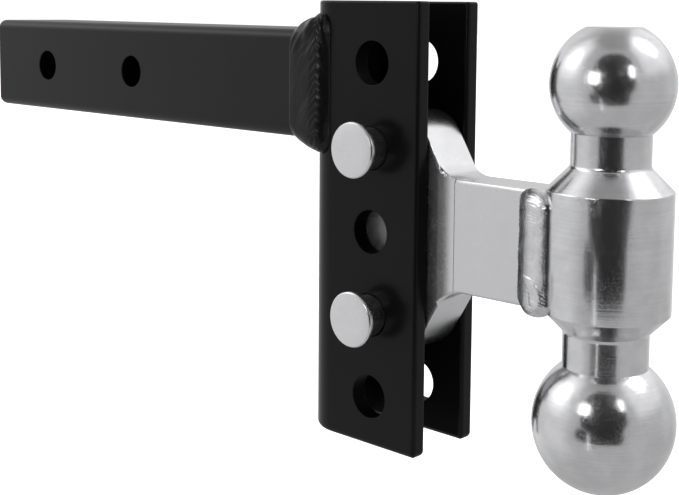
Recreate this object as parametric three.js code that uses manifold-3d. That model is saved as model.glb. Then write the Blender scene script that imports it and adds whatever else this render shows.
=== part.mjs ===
// Adjustable trailer hitch with a two-size ball post.
// Millimetres. X runs along the shank toward the balls, Y is sideways, Z is up.
// The origin is the middle of the flat rear end of the shank.

import * as THREE from 'three';
import { mergeVertices } from 'three/addons/utils/BufferGeometryUtils.js';
import Module from 'manifold-3d';

const wasm = await Module();
wasm.setup();

// ---------- driving sizes ----------

const GAP = 0.3;                    // air left between pieces that touch or are welded
const SPARE = 1;                    // how far a cutting or keeping block reaches past the work
const SIDES = { drill: 48, postBar: 96, post: 64, pin: 48, clipHole: 24, wire: 24 };

const SHANK = {
  side: 50.8,                       // 2 in square bar
  length: 263.2,
  cornerRadius: 5,
  rearRounding: 4.6,
  pinHoleRadius: 8.35,              // for a 5/8 in hitch pin
  pinHoleX: [55, 135],
};

const CHANNEL = {
  backX: SHANK.length + GAP,
  depth: 70.8,
  flange: 7.9,                      // 5/16 in plate
  gap: 25.9,                        // clear width between the flanges
  top: 38.8,
  height: 203.2,                    // 8 in
  outerRadius: 18,
  innerRadius: 8,
  tipRadius: 1.8,
  edgeRounding: 1,
  holeRadius: 9.95,
  holeFromMouth: 27.5,
  holePitch: 38.1,                  // 1.5 in
  firstHoleBelowTop: 27.6,
  holeRows: 5,
};
const CHANNEL_WIDTH = CHANNEL.gap + 2 * CHANNEL.flange;
const MOUTH_X = CHANNEL.backX + CHANNEL.depth;
const HOLE_X = MOUTH_X - CHANNEL.holeFromMouth;
const TOP_HOLE_Z = CHANNEL.top - CHANNEL.firstHoleBelowTop;
const UPPER_PIN_Z = TOP_HOLE_Z - CHANNEL.holePitch;
const LOWER_PIN_Z = TOP_HOLE_Z - 3 * CHANNEL.holePitch;

const BRACKET = {
  backX: CHANNEL.backX + CHANNEL.flange + 6,
  sliderWidth: 25,
  sliderTop: -10.5,
  sliderBottom: -119.5,
  shoulderRadius: 16,
  neckWidth: 22,
  neckTop: -38.2,
  neckBottom: -87.6,
  neckFilletRadius: 14,
  slopeRise: 1.64,                  // how steeply the diagonals fall, per mm of run
  upperSlopePoint: [337.5, -29.1],  // a point each diagonal passes through
  lowerSlopePoint: [337.5, -98.8],
  chamfer: 1.6,
  cornerRadius: 2,
  flatStartX: 347.6,                // the milled neck faces begin here
  wideEndX: 339.5,                  // full slider width ends here
};

const POST = {
  axisX: 418.6,
  barRadius: 25.8,
  barTop: -35.8,
  barBottom: -85.4,
  upperBallRadius: 25.4,            // 2 in ball
  upperBallZ: 6.5,
  upperNeckRadius: 16.3,
  lowerBallRadius: 29.35,           // 2 5/16 in ball
  lowerBallZ: -131.3,
  lowerNeckRadius: 17.6,
  flatRadius: 11.2,                 // flats on both ends of the post
  filletRadius: 3,                  // where a neck runs into its cone
  rimChamfer: 0.3,
};

const PIN = {
  radius: 9.5,                      // 3/4 in pin
  headRadius: 12.6,
  headThickness: 2.5,
  headChamfer: 0.6,
  headStandoff: 13,                 // from the near flange to the outer face of the head
  clipHoleRadius: 2.1,
  beyondClip: 6.6,
  endChamfer: 1.4,
};

const CLIP = {
  wireRadius: 1.6,
  fromFlange: 3.6,                  // from the far flange to the wire's centre
  loopRadius: 5,
  loopCentre: [-4.5, 20],           // sideways and up from the pin's axis
  legTop: 12,
  legBottom: -13.5,
  bendBelowLoop: [-6.8, 13.5],
  pinClearance: 0.4,                // between the pin and the leg that hugs it
  hugDegrees: [118, 135, 152, 169], // where that leg lies round the pin
  tailFlare: [[0.2, -3], [1.6, -7], [3, -10]],  // its end: out from the hug, and up
  wireSteps: 80,
};
const CLIP_Y = CHANNEL_WIDTH / 2 + CLIP.fromFlange;

const NECK_WELD = {
  neckToe: [380.5, -11],
  barToe: [402.8, -20.1],
  inset: 1.3,                       // how far the bead's middle lies behind its two toes
  halfThickness: 5.6,
  endRadius: 7,
  overrun: 1.6,                     // past the neck, at each end
};

// Outline of the shank bead in steps toward the channel:
// distance past the shank's end, half width and half height.
const SHANK_WELD_STEPS = [
  [-5.4, 25.8, 25.8],
  [-4.2, 26.2, 27.0],
  [-1.0, 26.6, 29.2],
  [4.0, 26.9, 31.8],
  [9.0, 26.9, 33.8],
  [12.6, 26.3, 34.8],
  [15.2, 24.6, 34.4],
  [17.2, 21.8, 32.8],
  [17.7, 20.4, 31.8],
];
const SHANK_WELD_CORNER = 8;

// ---------- helpers ----------

/** A geometry made of loose or indexed triangles as a solid for joining and cutting. */
function toSolid(geometry) {
  const bare = geometry.clone();
  bare.deleteAttribute('normal');
  bare.deleteAttribute('uv');
  const merged = mergeVertices(bare, 1e-4);
  return new wasm.Manifold(new wasm.Mesh({
    numProp: 3,
    vertProperties: new Float32Array(merged.attributes.position.array),
    triVerts: new Uint32Array(merged.index.array),
  }));
}

/** A solid back as a geometry. */
function toGeometry(solid) {
  const mesh = solid.getMesh();
  const geometry = new THREE.BufferGeometry();
  geometry.setAttribute('position', new THREE.BufferAttribute(mesh.vertProperties, 3));
  geometry.setIndex(new THREE.BufferAttribute(mesh.triVerts, 1));
  geometry.computeVertexNormals();
  return geometry;
}

/** Points along an outline whose corners [x, y, radius] are rounded. */
function roundedOutline(corners, degreesPerStep = 15) {
  const points = [];
  corners.forEach(([x, y, radius], i) => {
    const corner = new THREE.Vector2(x, y);
    const before = corners[(i + corners.length - 1) % corners.length];
    const after = corners[(i + 1) % corners.length];
    const toBefore = new THREE.Vector2(before[0] - x, before[1] - y).normalize();
    const toAfter = new THREE.Vector2(after[0] - x, after[1] - y).normalize();
    if (radius === 0) {
      points.push(corner);
      return;
    }
    const half = Math.acos(toBefore.dot(toAfter)) / 2;
    const bisector = toBefore.clone().add(toAfter).normalize();
    const centre = corner.clone().addScaledVector(bisector, radius / Math.sin(half));
    const start = corner.clone().addScaledVector(toBefore, radius / Math.tan(half)).sub(centre);
    const turn = (Math.PI - 2 * half) * Math.sign(toAfter.cross(toBefore));
    const steps = Math.max(2, Math.ceil(THREE.MathUtils.radToDeg(Math.abs(turn)) / degreesPerStep));
    for (let k = 0; k <= steps; k += 1) {
      const point = start.clone().rotateAround(new THREE.Vector2(0, 0), (turn * k) / steps);
      points.push(point.add(centre));
    }
  });
  return points;
}

/** An outline pushed out to a thickness, with its two ends broken by a bevel. */
function plate(points, thickness, bevel, bevelSteps) {
  const geometry = new THREE.ExtrudeGeometry(new THREE.Shape(points), {
    depth: thickness - 2 * bevel,
    bevelEnabled: bevel > 0,
    bevelThickness: bevel,
    bevelSize: bevel,
    bevelOffset: -bevel,
    bevelSegments: bevelSteps,
    curveSegments: 12,
  });
  return geometry.translate(0, 0, bevel);
}

/** Turns an outline drawn in X and Z, and pushed out along Y, into place. */
function standAlongY(geometry, thickness) {
  const turn = new THREE.Matrix4().makeBasis(
    new THREE.Vector3(1, 0, 0),
    new THREE.Vector3(0, 0, 1),
    new THREE.Vector3(0, -1, 0),
  );
  return geometry.applyMatrix4(turn).translate(0, thickness / 2, 0);
}

/** Turns an outline drawn in Y and Z, and pushed out along X, into place. */
function standAlongX(geometry) {
  const turn = new THREE.Matrix4().makeBasis(
    new THREE.Vector3(0, 1, 0),
    new THREE.Vector3(0, 0, 1),
    new THREE.Vector3(1, 0, 0),
  );
  return geometry.applyMatrix4(turn);
}

/** A round bar along Y that cuts a hole through a piece of that width. */
function drillAlongY(radius, x, z, width) {
  const bar = new THREE.CylinderGeometry(radius, radius, width + 2 * SPARE, SIDES.drill);
  return toSolid(bar.translate(x, 0, z));
}

/** A round bar along Z. */
function barAlongZ(radius, x, y, bottom, top, sides) {
  const bar = new THREE.CylinderGeometry(radius, radius, top - bottom, sides);
  return toSolid(bar.rotateX(Math.PI / 2).translate(x, y, (top + bottom) / 2));
}

/** A straight block given by its two corners. */
function block(low, high) {
  const size = high.map((value, i) => value - low[i]);
  const middle = high.map((value, i) => (value + low[i]) / 2);
  return toSolid(new THREE.BoxGeometry(...size).translate(...middle));
}

function material(colour, roughness, metalness) {
  return new THREE.MeshStandardMaterial({ color: colour, roughness, metalness });
}

// ---------- shank ----------

function squareOutline(halfWidth, halfHeight, radius) {
  return roundedOutline([
    [-halfWidth, -halfHeight, radius],
    [halfWidth, -halfHeight, radius],
    [halfWidth, halfHeight, radius],
    [-halfWidth, halfHeight, radius],
  ], 22.5);
}

/** The bar itself, made bigger all round by a margin, without its cross holes. */
function shankBar(margin) {
  const half = SHANK.side / 2 + margin;
  const outline = squareOutline(half, half, SHANK.cornerRadius + margin);
  const tooLong = SHANK.length + 2 * SHANK.rearRounding;
  const bar = toSolid(standAlongX(plate(outline, tooLong, SHANK.rearRounding, 4)));
  const past = half + SPARE;
  const keep = block([-SPARE, -past, -past], [SHANK.length + margin, past, past]);
  return bar.intersect(keep);
}

function makeShank() {
  let bar = shankBar(0);
  for (const x of SHANK.pinHoleX) {
    bar = bar.subtract(drillAlongY(SHANK.pinHoleRadius, x, 0, SHANK.side));
  }
  return toGeometry(bar);
}

// ---------- channel ----------

/** The U section, made bigger all round by a margin, without its holes. */
function channelBody(margin) {
  const back = CHANNEL.backX - margin;
  const mouth = MOUTH_X + margin;
  const outer = CHANNEL_WIDTH / 2 + margin;
  const inner = CHANNEL.gap / 2 - margin;
  const floor = CHANNEL.backX + CHANNEL.flange + margin;
  const outline = roundedOutline([
    [back, -outer, CHANNEL.outerRadius + margin],
    [mouth, -outer, CHANNEL.tipRadius],
    [mouth, -inner, CHANNEL.tipRadius],
    [floor, -inner, CHANNEL.innerRadius],
    [floor, inner, CHANNEL.innerRadius],
    [mouth, inner, CHANNEL.tipRadius],
    [mouth, outer, CHANNEL.tipRadius],
    [back, outer, CHANNEL.outerRadius + margin],
  ]);
  const tall = CHANNEL.height + 2 * margin;
  const section = plate(outline, tall, CHANNEL.edgeRounding, 2);
  return toSolid(section.translate(0, 0, CHANNEL.top + margin - tall));
}

function makeChannel() {
  let body = channelBody(0);
  for (let row = 0; row < CHANNEL.holeRows; row += 1) {
    const z = TOP_HOLE_Z - row * CHANNEL.holePitch;
    body = body.subtract(drillAlongY(CHANNEL.holeRadius, HOLE_X, z, CHANNEL_WIDTH));
  }
  return toGeometry(body);
}

// ---------- bead between shank and channel ----------

/** A closed skin through equal rings of points, with flat ends. */
function skinThroughRings(rings) {
  const count = rings[0].length;
  const positions = rings.flat().flatMap((point) => point.toArray());
  const triangles = [];
  for (let ring = 0; ring + 1 < rings.length; ring += 1) {
    for (let i = 0; i < count; i += 1) {
      const a = ring * count + i;
      const b = ring * count + ((i + 1) % count);
      triangles.push(a, b, b + count, a, b + count, a + count);
    }
  }
  const last = (rings.length - 1) * count;
  for (let i = 1; i + 1 < count; i += 1) {
    triangles.push(0, i + 1, i);
    triangles.push(last, last + i, last + i + 1);
  }
  const geometry = new THREE.BufferGeometry();
  geometry.setAttribute('position', new THREE.Float32BufferAttribute(positions, 3));
  geometry.setIndex(triangles);
  return geometry;
}

function makeShankWeld() {
  const rings = SHANK_WELD_STEPS.map(([past, halfWidth, halfHeight]) => {
    const outline = squareOutline(halfWidth, halfHeight, SHANK_WELD_CORNER);
    return outline.map((point) => new THREE.Vector3(SHANK.length + past, point.x, point.y));
  });
  const insideChannel = block(
    [CHANNEL.backX + CHANNEL.flange / 2, -CHANNEL.gap / 2 - SPARE, -SHANK.side],
    [MOUTH_X, CHANNEL.gap / 2 + SPARE, SHANK.side],
  );
  const cutAway = shankBar(GAP).add(channelBody(GAP)).add(insideChannel);
  return toGeometry(toSolid(skinThroughRings(rings)).subtract(cutAway));
}

// ---------- bracket that carries the post ----------

/** The side view of the bracket: a tall slider, two diagonals and a straight neck. */
function bracketOutline() {
  const { slopeRise, upperSlopePoint, lowerSlopePoint } = BRACKET;
  const upperSlopeX = (z) => upperSlopePoint[0] + (upperSlopePoint[1] - z) / slopeRise;
  const lowerSlopeX = (z) => lowerSlopePoint[0] + (z - lowerSlopePoint[1]) / slopeRise;
  return roundedOutline([
    [BRACKET.backX, BRACKET.sliderBottom, BRACKET.cornerRadius],
    [lowerSlopeX(BRACKET.sliderBottom), BRACKET.sliderBottom, BRACKET.shoulderRadius],
    [lowerSlopeX(BRACKET.neckBottom), BRACKET.neckBottom, BRACKET.neckFilletRadius],
    [POST.axisX, BRACKET.neckBottom, 0],
    [POST.axisX, BRACKET.neckTop, 0],
    [upperSlopeX(BRACKET.neckTop), BRACKET.neckTop, BRACKET.neckFilletRadius],
    [upperSlopeX(BRACKET.sliderTop), BRACKET.sliderTop, BRACKET.shoulderRadius],
    [BRACKET.backX, BRACKET.sliderTop, BRACKET.cornerRadius],
  ], 7);
}

/** The same outline at one width, with chamfered long edges. */
function bracketSlab(width) {
  const slab = plate(bracketOutline(), width, BRACKET.chamfer, 1);
  return toSolid(standAlongY(slab, width));
}

/** Top view of the wide part, hollowed on both sides where the milled neck begins. */
function widePartPlan() {
  const rise = (BRACKET.sliderWidth - BRACKET.neckWidth) / 2;
  const run = BRACKET.flatStartX - BRACKET.wideEndX;
  const radius = (run * run + rise * rise) / (2 * rise);
  const steps = 6;
  const side = [];
  for (let k = 0; k <= steps; k += 1) {
    const x = BRACKET.wideEndX + (run * k) / steps;
    const fall = radius - Math.sqrt(radius * radius - (BRACKET.flatStartX - x) ** 2);
    side.push(new THREE.Vector2(x, BRACKET.neckWidth / 2 + fall));
  }
  const otherSide = side.map((point) => new THREE.Vector2(point.x, -point.y));
  const half = BRACKET.sliderWidth / 2 + SPARE;
  const behind = BRACKET.backX - SPARE;
  return [
    new THREE.Vector2(BRACKET.wideEndX, half),
    new THREE.Vector2(behind, half),
    new THREE.Vector2(behind, -half),
    new THREE.Vector2(BRACKET.wideEndX, -half),
    ...otherSide,
    ...side.reverse(),
  ];
}

/** The bar of the post, with the gap round it, as a cutter. */
function postBarCutter() {
  const { axisX, barRadius, barBottom, barTop } = POST;
  const past = 10 * SPARE;
  return barAlongZ(barRadius + GAP, axisX, 0, barBottom - past, barTop + past, SIDES.postBar);
}

/** The whole bracket, without its pin holes and the hollow that takes the post. */
function bracketBody() {
  const height = BRACKET.sliderTop - BRACKET.sliderBottom + 2 * SPARE;
  const plan = plate(widePartPlan(), height, 0, 1);
  const wideMask = toSolid(plan.translate(0, 0, BRACKET.sliderBottom - SPARE));
  return bracketSlab(BRACKET.sliderWidth)
    .intersect(wideMask)
    .add(bracketSlab(BRACKET.neckWidth));
}

function makeBracket() {
  let body = bracketBody().subtract(postBarCutter());
  for (const z of [UPPER_PIN_Z, LOWER_PIN_Z]) {
    body = body.subtract(drillAlongY(CHANNEL.holeRadius, HOLE_X, z, BRACKET.sliderWidth));
  }
  return toGeometry(body);
}

// ---------- ball post ----------

/** Points on a ball's outline between two heights, measured from the ball's centre. */
function ballArc(radius, centreZ, from, to, steps) {
  const start = Math.asin(from / radius);
  const end = Math.asin(to / radius);
  const points = [];
  for (let k = 0; k <= steps; k += 1) {
    const angle = start + ((end - start) * k) / steps;
    points.push([radius * Math.cos(angle), centreZ + radius * Math.sin(angle)]);
  }
  return points;
}

/** Points round the hollow corner where a neck runs into its cone, from the neck outward. */
function coneFillet(neckRadius, coneEnd, towardCone) {
  const { filletRadius } = POST;
  const coneAngle = Math.PI / 4;
  const startZ = coneEnd - towardCone * filletRadius * Math.tan(coneAngle / 2);
  return [0, 0.5, 1].map((part) => [
    neckRadius + filletRadius * (1 - Math.cos(part * coneAngle)),
    startZ + towardCone * filletRadius * Math.sin(part * coneAngle),
  ]);
}

/** Half of the post's side view, from the axis at the bottom to the axis at the top. */
function postProfile() {
  const { upperBallRadius, upperNeckRadius, lowerBallRadius, lowerNeckRadius, barRadius } = POST;
  const depthAt = (ball, radius) => Math.sqrt(ball * ball - radius * radius);
  const lowerFlat = -depthAt(lowerBallRadius, POST.flatRadius);
  const upperFlat = depthAt(upperBallRadius, POST.flatRadius);
  const lowerMeet = depthAt(lowerBallRadius, lowerNeckRadius);
  const upperMeet = -depthAt(upperBallRadius, upperNeckRadius);
  const lowerConeEnd = POST.barBottom - (barRadius - lowerNeckRadius);
  const upperConeEnd = POST.barTop + (barRadius - upperNeckRadius);
  const rim = POST.rimChamfer;
  return [
    [0, POST.lowerBallZ + lowerFlat],
    ...ballArc(lowerBallRadius, POST.lowerBallZ, lowerFlat, lowerMeet, 16),
    ...coneFillet(lowerNeckRadius, lowerConeEnd, 1),
    [barRadius - rim, POST.barBottom - rim],
    [barRadius, POST.barBottom + rim],
    [barRadius, POST.barTop - rim],
    [barRadius - rim, POST.barTop + rim],
    ...coneFillet(upperNeckRadius, upperConeEnd, -1).reverse(),
    ...ballArc(upperBallRadius, POST.upperBallZ, upperMeet, upperFlat, 16),
    [0, POST.upperBallZ + upperFlat],
  ];
}

/** Spins a half view of [radius, height] points about Y. */
function turned(profile, sides) {
  return new THREE.LatheGeometry(profile.map(([r, h]) => new THREE.Vector2(r, h)), sides);
}

function makePost() {
  const post = turned(postProfile(), SIDES.post).rotateX(Math.PI / 2).translate(POST.axisX, 0, 0);
  return toGeometry(toSolid(post));
}

// ---------- beads between neck and post ----------

/** A pill-shaped bead filling the corner between one side of the neck and the post. */
function makeNeckWeld(side) {
  const [neckX, neckY] = NECK_WELD.neckToe;
  const [barX, barY] = NECK_WELD.barToe;
  const across = Math.hypot(barX - neckX, barY - neckY) / 2;
  const lean = Math.atan2(barY - neckY, barX - neckX);
  const middleX = (neckX + barX) / 2 + NECK_WELD.inset * Math.sin(-lean);
  const middleY = (neckY + barY) / 2 + NECK_WELD.inset * Math.cos(lean);
  const tall = BRACKET.neckTop - BRACKET.neckBottom + 2 * NECK_WELD.overrun;
  const straight = tall - 2 * NECK_WELD.endRadius;
  const pill = new THREE.CapsuleGeometry(NECK_WELD.endRadius, straight, 8, 32)
    .rotateX(Math.PI / 2)
    .scale(across / NECK_WELD.endRadius, NECK_WELD.halfThickness / NECK_WELD.endRadius, 1)
    .rotateZ(lean)
    .translate(middleX, middleY, (BRACKET.neckTop + BRACKET.neckBottom) / 2);
  if (side > 0) {
    pill.rotateX(Math.PI).translate(0, 0, BRACKET.neckTop + BRACKET.neckBottom);
  }
  const half = BRACKET.neckWidth / 2 + GAP;
  const past = NECK_WELD.overrun + SPARE;
  const neck = block(
    [BRACKET.flatStartX, -half, BRACKET.neckBottom - past],
    [POST.axisX, half, BRACKET.neckTop + past],
  );
  return toGeometry(toSolid(pill).subtract(neck).subtract(postBarCutter()));
}

// ---------- pins and their clips ----------

function makePin(z) {
  const near = -CHANNEL_WIDTH / 2 - PIN.headStandoff;
  const far = CLIP_Y + PIN.beyondClip;
  const headBack = near + PIN.headThickness;
  const bar = turned([
    [0, near],
    [PIN.headRadius - PIN.headChamfer, near],
    [PIN.headRadius, near + PIN.headChamfer],
    [PIN.headRadius, headBack],
    [PIN.radius, headBack],
    [PIN.radius, far - PIN.endChamfer],
    [PIN.radius - PIN.endChamfer, far],
    [0, far],
  ], SIDES.pin);
  const past = PIN.radius + SPARE;
  const clipHole = barAlongZ(PIN.clipHoleRadius, 0, CLIP_Y, -past, past, SIDES.clipHole);
  return toGeometry(toSolid(bar).subtract(clipHole)).translate(HOLE_X, 0, z);
}

/** Centre line of the clip's wire, sideways and up from the pin's axis. */
function clipPath() {
  const { loopRadius, loopCentre, legTop, legBottom } = CLIP;
  const hug = PIN.radius + CLIP.wireRadius + CLIP.pinClearance;
  const points = [[0, legBottom], [0, legBottom / 2], [0, 0], [0, legTop / 2], [0, legTop]];
  for (let degrees = -30; degrees <= 210; degrees += 30) {
    const angle = THREE.MathUtils.degToRad(degrees);
    points.push([
      loopCentre[0] + loopRadius * Math.cos(angle),
      loopCentre[1] + loopRadius * Math.sin(angle),
    ]);
  }
  points.push(CLIP.bendBelowLoop);
  for (const degrees of CLIP.hugDegrees) {
    const angle = THREE.MathUtils.degToRad(degrees);
    points.push([hug * Math.cos(angle), hug * Math.sin(angle)]);
  }
  points.push(...CLIP.tailFlare.map(([out, up]) => [-hug - out, up]));
  return new THREE.CatmullRomCurve3(points.map(([x, z]) => new THREE.Vector3(x, 0, z)));
}

function makeClip(z) {
  const round = new THREE.Shape();
  round.absarc(0, 0, CLIP.wireRadius, 0, 2 * Math.PI);
  const wire = new THREE.ExtrudeGeometry(round, {
    steps: CLIP.wireSteps,
    extrudePath: clipPath(),
    curveSegments: SIDES.wire / 4,
  });
  return toGeometry(toSolid(wire)).translate(HOLE_X, CLIP_Y, z);
}

// ---------- assembly ----------

const shankBlack = material(0x2b2b2c, 0.5, 0.1);
const channelBlack = material(0x212122, 0.45, 0.1);
const weldBlack = material(0x1c1c1d, 0.55, 0.1);
const bareAluminium = material(0xbcbec0, 0.45, 0.9);
const turnedAluminium = material(0xc9cbcd, 0.25, 0.95);
const weldAluminium = material(0xb4b6b8, 0.4, 0.9);
const platedSteel = material(0xc6c8ca, 0.35, 0.9);

const group = new THREE.Group();
group.name = 'trailer_hitch_with_ball';

function place(name, geometry, look) {
  const mesh = new THREE.Mesh(geometry, look.clone());
  mesh.name = name;
  group.add(mesh);
}

place('shank', makeShank(), shankBlack);
place('shank_weld', makeShankWeld(), weldBlack);
place('channel', makeChannel(), channelBlack);
place('ball_mount_bracket', makeBracket(), bareAluminium);
place('ball_post', makePost(), turnedAluminium);
place('near_neck_weld', makeNeckWeld(-1), weldAluminium);
place('far_neck_weld', makeNeckWeld(1), weldAluminium);
place('upper_pin', makePin(UPPER_PIN_Z), platedSteel);
place('lower_pin', makePin(LOWER_PIN_Z), platedSteel);
place('upper_clip', makeClip(UPPER_PIN_Z), platedSteel);
place('lower_clip', makeClip(LOWER_PIN_Z), platedSteel);

export default group;
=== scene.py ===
import math

import bmesh
import bpy
from mathutils import Matrix, Vector, noise


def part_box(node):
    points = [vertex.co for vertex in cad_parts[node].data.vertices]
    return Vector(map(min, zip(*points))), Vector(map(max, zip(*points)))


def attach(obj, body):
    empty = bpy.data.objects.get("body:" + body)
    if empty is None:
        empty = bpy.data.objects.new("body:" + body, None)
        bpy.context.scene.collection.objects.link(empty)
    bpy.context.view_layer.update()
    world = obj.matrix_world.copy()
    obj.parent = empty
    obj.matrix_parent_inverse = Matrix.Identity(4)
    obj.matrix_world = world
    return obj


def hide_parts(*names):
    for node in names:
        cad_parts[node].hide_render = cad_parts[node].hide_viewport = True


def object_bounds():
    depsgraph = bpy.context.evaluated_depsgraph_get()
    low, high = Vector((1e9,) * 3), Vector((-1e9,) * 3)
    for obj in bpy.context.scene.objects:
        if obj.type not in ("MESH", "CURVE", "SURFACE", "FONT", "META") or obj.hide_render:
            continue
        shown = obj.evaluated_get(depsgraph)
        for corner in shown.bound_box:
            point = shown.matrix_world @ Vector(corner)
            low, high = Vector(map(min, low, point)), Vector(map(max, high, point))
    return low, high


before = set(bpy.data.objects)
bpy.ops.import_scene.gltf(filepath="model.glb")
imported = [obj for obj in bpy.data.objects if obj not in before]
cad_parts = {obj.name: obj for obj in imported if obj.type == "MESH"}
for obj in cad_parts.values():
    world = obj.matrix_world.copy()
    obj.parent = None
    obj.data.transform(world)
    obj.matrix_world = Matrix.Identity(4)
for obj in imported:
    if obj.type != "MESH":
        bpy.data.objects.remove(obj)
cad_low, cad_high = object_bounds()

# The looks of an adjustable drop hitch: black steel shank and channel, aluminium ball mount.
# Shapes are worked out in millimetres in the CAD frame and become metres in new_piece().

MM = 0.001


def box_mm(node):
    """The two corners of a CAD node's box, in millimetres."""
    low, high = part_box(node)
    return low / MM, high / MM


# ---------- sizes read from the frame ----------

SHANK_LOW, SHANK_HIGH = box_mm("shank")
CHANNEL_LOW, CHANNEL_HIGH = box_mm("channel")
BRACKET_LOW, BRACKET_HIGH = box_mm("ball_mount_bracket")
POST_LOW, POST_HIGH = box_mm("ball_post")
UPPER_PIN_LOW, UPPER_PIN_HIGH = box_mm("upper_pin")
LOWER_PIN_LOW, LOWER_PIN_HIGH = box_mm("lower_pin")

PIN_X = (UPPER_PIN_LOW.x + UPPER_PIN_HIGH.x) / 2
UPPER_PIN_Z = (UPPER_PIN_LOW.z + UPPER_PIN_HIGH.z) / 2
LOWER_PIN_Z = (LOWER_PIN_LOW.z + LOWER_PIN_HIGH.z) / 2
HOLE_PITCH = (UPPER_PIN_Z - LOWER_PIN_Z) / 2
CHANNEL_HOLE_ZS = [UPPER_PIN_Z + HOLE_PITCH - row * HOLE_PITCH for row in range(5)]
POST_X = (POST_LOW.x + POST_HIGH.x) / 2

# ---------- sizes the boxes don't give ----------

# PAST is how far the cutters of holes stick out of what they cut.

EDGE_BREAK = 0.5
PAST = 1.0

SHANK_CORNER = 5.0
SHANK_REAR_ROUNDING = 4.6
SHANK_HOLE_XS = (55.0, 135.0)
SHANK_HOLE_RADIUS = 8.35

FLANGE = 7.9
CHANNEL_OUTER_RADIUS = 18.0
CHANNEL_INNER_RADIUS = 8.0
CHANNEL_TIP_RADIUS = 1.8
CHANNEL_TOP_ROUNDING = 1.2
CHANNEL_BOTTOM_ROUNDING = 2.8
ADJUSTING_HOLE_RADIUS = 9.95

# The bracket: slope points are (x, z), and the milling runs from WIDE_END_X to NECK_FLAT_X.
NECK_TOP = -38.2
NECK_BOTTOM = -87.6
NECK_HALF_WIDTH = 11.0
WIDE_END_X = 339.5
NECK_FLAT_X = 347.6
MILLING_STEP = 0.15
RUN_OUT_POWER = 2.5
RUN_OUT_SLICES = 16
A_HAIR = 0.001
HOLLOW_PAST = 10
BRACKET_CHAMFER = 1.6
BRACKET_CHAMFER_DEPTH = 0.9
BRACKET_CORNER = 2.0
BRACKET_EDGE_BREAK = 0.25
SLOPE_RISE = 1.64
UPPER_SLOPE_POINT = (337.5, -29.1)
LOWER_SLOPE_POINT = (337.5, -98.8)
SHOULDER_RADIUS = 16.0
NECK_FILLET_RADIUS = 14.0

BAR_RADIUS = 25.8
BAR_TOP = -35.8
BAR_BOTTOM = -85.4
UPPER_BALL_RADIUS = 25.4
UPPER_BALL_Z = 6.5
UPPER_NECK_RADIUS = 16.3
LOWER_BALL_RADIUS = 29.35
LOWER_BALL_Z = -131.3
LOWER_NECK_RADIUS = 17.6
BALL_FLAT_RADIUS = 11.2
CONE_FILLET_RADIUS = 3.0
POST_RIM = 0.3
POST_GAP = 0.3

PIN_RADIUS = 9.5
PIN_HEAD_THICKNESS = 2.5
PIN_HEAD_RADIUS = 12.6
PIN_HEAD_CHAMFER = 0.6
PIN_END_CHAMFER = 1.4
PIN_SMALL_ROUNDING = 0.3
CLIP_HOLE_RADIUS = 2.1

# A clip's wire: places are (sideways, up) from its pin's axis.
WIRE_RADIUS = 1.6
LOOP_RADIUS = 5.0
LOOP_CENTRE = (-4.5, 20.0)
LEG_BOTTOM = -13.5
LEG_TOP = 12.0
BEND_BELOW_LOOP = (-6.8, 13.5)
WIRE_CLEARANCE = 0.4
HUG_DEGREES = (118, 135, 152, 169)
TAIL_FLARE = ((0.2, -3), (1.6, -7), (3, -10))

# ---------- camera ----------

CAMERA_PLACE = Vector((680.24, -422.23, 36.80)) * MM
CAMERA_YAW = math.radians(41.737)
CAMERA_PITCH = math.radians(5.773)
CAMERA_ROLL = math.radians(0.680)
CAMERA_LENS = 65.32
CAMERA_SENSOR = 36.0
CAMERA_SHIFT = (-0.0842, -0.1731)


def camera_axes():
    """Right, up and forward of the camera, from its yaw, pitch and roll."""
    forward = Vector((
        -math.sin(CAMERA_YAW) * math.cos(CAMERA_PITCH),
        math.cos(CAMERA_YAW) * math.cos(CAMERA_PITCH),
        -math.sin(CAMERA_PITCH),
    ))
    level_right = Vector((math.cos(CAMERA_YAW), math.sin(CAMERA_YAW), 0))
    level_up = level_right.cross(forward)
    right = math.cos(CAMERA_ROLL) * level_right + math.sin(CAMERA_ROLL) * level_up
    up = math.cos(CAMERA_ROLL) * level_up - math.sin(CAMERA_ROLL) * level_right
    return right, up, forward


def make_camera():
    right, up, forward = camera_axes()
    data = bpy.data.cameras.new("camera")
    data.lens = CAMERA_LENS
    data.sensor_width = CAMERA_SENSOR
    data.sensor_fit = "HORIZONTAL"
    data.shift_x, data.shift_y = CAMERA_SHIFT
    data.clip_start = 0.01
    data.clip_end = 100
    camera = bpy.data.objects.new("camera", data)
    turn = Matrix((right, up, -forward)).transposed()
    camera.matrix_world = Matrix.Translation(CAMERA_PLACE) @ turn.to_4x4()
    bpy.context.scene.collection.objects.link(camera)
    bpy.context.scene.camera = camera


make_camera()

# ---------- mesh helpers ----------


def add_object(name, data):
    """A scene object that shows a mesh, a curve or a light."""
    thing = bpy.data.objects.new(name, data)
    bpy.context.scene.collection.objects.link(thing)
    return thing


def mesh_object(name, mesh):
    """A scene object from a bmesh, which is used up."""
    data = bpy.data.meshes.new(name)
    mesh.to_mesh(data)
    mesh.free()
    return add_object(name, data)


def new_piece(name, mesh):
    """A scene object from a bmesh in millimetres."""
    bmesh.ops.scale(mesh, vec=(MM, MM, MM), verts=mesh.verts)
    bmesh.ops.recalc_face_normals(mesh, faces=mesh.faces)
    return mesh_object(name, mesh)


def bake(piece):
    """Applies the modifiers of a piece."""
    bpy.context.view_layer.update()
    graph = bpy.context.evaluated_depsgraph_get()
    baked = bpy.data.meshes.new_from_object(piece.evaluated_get(graph), depsgraph=graph)
    rough = piece.data
    piece.modifiers.clear()
    piece.data = baked
    baked.name = piece.name
    bpy.data.meshes.remove(rough)


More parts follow.
